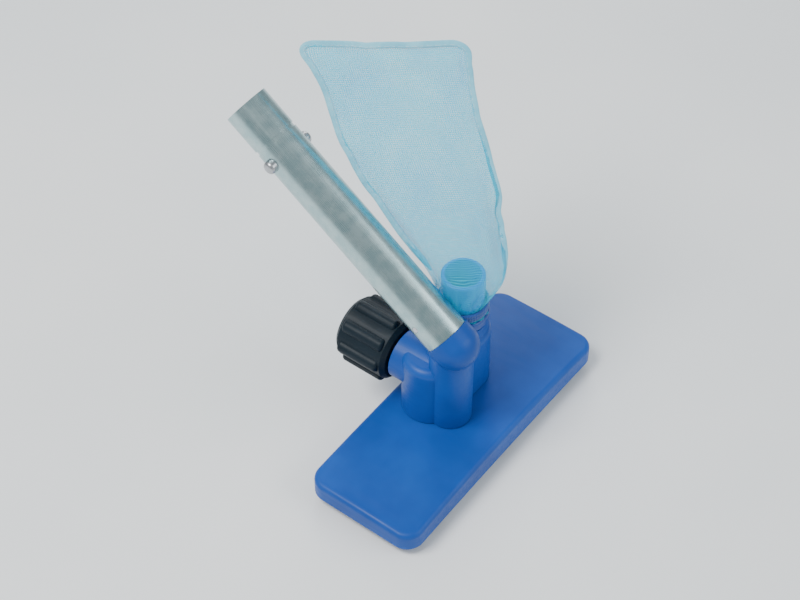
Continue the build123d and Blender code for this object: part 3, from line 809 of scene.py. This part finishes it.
def build_bristles(name, low, high, lean):
    """Round tufts of single bristles, each thinner at its tip and bent a little its own way."""
    points, faces = [], []
    middle_y = (low.y + high.y) / 2
    root_z = high.z - STRIP_HEIGHT + 0.4 * MM
    rings, sides = 5, 4
    for x in tuft_places():
        tuft_lean = Vector((random.uniform(-0.3, 0.3), lean + random.uniform(-0.3, 0.3), 0)) * MM
        for b in range(BRISTLES):
            away = TUFT_RADIUS * sqrt((b + 0.5) / BRISTLES)
            turn = b * GOLDEN_TURN
            root = Vector((x + away * cos(turn), middle_y + away * sin(turn), root_z))
            splay = Vector((cos(turn), sin(turn), 0)) * away * random.uniform(0.1, 0.35)
            stray = Vector((random.uniform(-0.22, 0.22), random.uniform(-0.22, 0.22), 0)) * MM
            tip = Vector((root.x, root.y, low.z + abs(random.gauss(0, 0.22)) * MM))
            tip = tip + splay + stray + tuft_lean
            start = len(points)
            for r in range(rings):
                s = r / (rings - 1)
                spot = Vector((
                    root.x + (tip.x - root.x) * s**1.7, root.y + (tip.y - root.y) * s**1.7,
                    root.z + (tip.z - root.z) * s,
                ))
                size = (0.2 - 0.06 * s) * MM
                for k in range(sides):
                    angle = 2 * pi * (k + b * 0.37) / sides
                    points.append((spot.x + size * cos(angle), spot.y + size * sin(angle), spot.z))
            faces += ring_faces(start, rings, sides) + end_caps(start, rings, sides)
    return outward(new_object(name, points, faces))


for node, lean in (("front_brush", -0.25), ("rear_brush", 0.25)):
    low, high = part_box(node)
    label = node.split("_")[0]
    strip = build_strip(label + "_brush_strip", low, high)
    finish_piece(strip, HEAD, "bristle_nylon", MATERIALS["bristle_nylon"], node)
    tufts = build_bristles(label + "_brush_tufts", low, high, lean)
    finish_piece(tufts, HEAD, "bristle_nylon", MATERIALS["bristle_nylon"], node)


# ---- the thread inside the hose nut
THREAD_PITCH = 2.3 * MM
THREAD_WALL, THREAD_DEPTH = 12.95 * MM, 0.85 * MM     # radius at its root, and how far it stands in
# The ridge's section: millimetres along the bore, and share of the full depth.
THREAD_SECTION = ((-0.95, 0.0), (-0.45, 0.75), (-0.18, 1.0), (0.18, 1.0), (0.45, 0.75), (0.95, 0.0))


def build_thread():
    """A rounded ridge wound round the nut's bore, thinning out at both ends."""
    around = 72
    start_y, end_y = nut_low.y + 20.2 * MM, nut_high.y - 2.2 * MM
    turns = (end_y - start_y) / THREAD_PITCH
    steps = int(turns * around)
    points = []
    for i in range(steps + 1):
        turn = 2 * pi * i / around
        y = start_y + THREAD_PITCH * i / around
        fade = smooth_step(i, 0, around * 0.6) * smooth_step(steps - i, 0, around * 0.6)
        for across, share in THREAD_SECTION:
            r = THREAD_WALL - THREAD_DEPTH * share * (0.15 + 0.85 * fade)
            along = y + across * MM * (0.3 + 0.7 * fade)
            points.append((NUT_AXIS.x + r * cos(turn), along, NUT_AXIS.z + r * sin(turn)))
    sides = len(THREAD_SECTION)
    faces = ring_faces(0, steps + 1, sides) + end_caps(0, steps + 1, sides)
    return outward(new_object("nut_thread", points, faces))


finish_piece(build_thread(), "swivel_nut", "nut_plastic", MATERIALS["nut_plastic"])


# ---- the snap buttons' spring, one piece for each leg
spring_low, spring_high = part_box("snap_spring")
SPRING_MIDDLE = (spring_low + spring_high) / 2


def build_spring_leg(name, side):
    """The half of the V spring on one side of the stem's middle plane, closed at its cut."""
    shape = bmesh.new()
    shape.from_mesh(frame["nodes"]["snap_spring"].data)
    bmesh.ops.remove_doubles(shape, verts=shape.verts, dist=0.001 * MM)
    bmesh.ops.bisect_plane(
        shape, geom=shape.verts[:] + shape.edges[:] + shape.faces[:], dist=0.0001 * MM,
        plane_co=(SPRING_MIDDLE.x + side * 0.01 * MM, 0, 0), plane_no=(side, 0, 0), clear_inner=True,
    )
    bmesh.ops.holes_fill(shape, edges=[edge for edge in shape.edges if edge.is_boundary])
    return outward(from_bmesh(name, shape))


for label, side in (("near", -1), ("far", 1)):
    leg = build_spring_leg("spring_leg_" + label, side)
    finish_piece(leg, HEAD, "spring_steel", MATERIALS["spring_steel"], "snap_spring")
    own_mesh(leg)


# ---- stage, light and camera
VIEW_AZIMUTH, VIEW_ELEVATION, VIEW_DISTANCE = radians(-55.5), radians(51.5), 1.13


def floor_look():
    look = Look("stage_floor", rough=0.6)
    clouds = look.fit(look.noise(4, 3), 0.3, 0.7)
    look.set("Base Color", look.mix(clouds, (0.8, 0.83, 0.85), (0.86, 0.88, 0.89)))
    look.set("Normal", look.bump(look.noise(500, 2), 0.05 * MM, 0.3))
    return look.material


def build_floor():
    """A flat floor that turns up into a far wall."""
    points, faces = [], []
    reach, bend, wall_top, steps = 4.0, 1.2, 4.0, 12
    below = 0.2 * MM        # keeps the floor off the bristles' tips
    profile = [(-reach, 0.0), (reach - bend, 0.0)]
    for k in range(1, steps + 1):
        a = pi / 2 * k / steps
        profile.append((reach - bend + bend * sin(a), bend - bend * cos(a)))
    profile.append((reach, wall_top))
    for y, z in profile:
        points += [(-reach, y, z - below), (reach, y, z - below)]
    for i in range(len(profile) - 1):
        faces.append((2 * i, 2 * i + 1, 2 * i + 3, 2 * i + 2))
    made = new_object("stage_floor", points, faces)
    made.data.materials.append(floor_look())
    made.rotation_euler.z = VIEW_AZIMUTH


build_floor()


def aim_at(made, place, target):
    """Puts a light or a camera in its place, looking at a point."""
    made.location = place
    made.rotation_mode = "QUATERNION"
    made.rotation_quaternion = (target - place).to_track_quat("-Z", "Y")


def area_light(name, place, target, size, power, colour=(1, 1, 1)):
    data = bpy.data.lights.new(name, "AREA")
    data.shape = "RECTANGLE"
    data.size, data.size_y = size
    data.energy = power
    data.color = colour
    aim_at(linked(name, data), Vector(place), Vector(target))


OBJECT_MIDDLE = (CAD_BOX[0] + CAD_BOX[1]) / 2
area_light("light_key", (-0.75, 0.35, 1.5), OBJECT_MIDDLE, (0.7, 0.7), 29, (1, 0.99, 0.97))
area_light("light_fill", (0.5, -1.5, 1.1), OBJECT_MIDDLE, (1.2, 0.8), 13, (0.95, 0.98, 1))
area_light("light_rim", (1.3, 0.9, 0.9), OBJECT_MIDDLE, (0.8, 0.8), 10)
world = bpy.data.worlds.new("soft_sky")
world.use_nodes = True
world.node_tree.nodes["Background"].inputs["Color"].default_value = (0.86, 0.92, 0.96, 1)
world.node_tree.nodes["Background"].inputs["Strength"].default_value = 0.55
bpy.context.scene.world = world

level = cos(VIEW_ELEVATION)
back = Vector((sin(VIEW_AZIMUTH) * level, -cos(VIEW_AZIMUTH) * level, sin(VIEW_ELEVATION)))
camera_data = bpy.data.cameras.new("camera")
camera_data.sensor_width = 36
camera_data.lens = 84
camera_data.clip_start, camera_data.clip_end = 0.01, 50
camera = linked("camera", camera_data)
plate_foot = Vector((SHELL_MIDDLE.x, SHELL_MIDDLE.y, 0))
aim_at(camera, plate_foot + back * VIEW_DISTANCE, Vector((0.0, -0.015, 0.085)))
bpy.context.scene.camera = camera
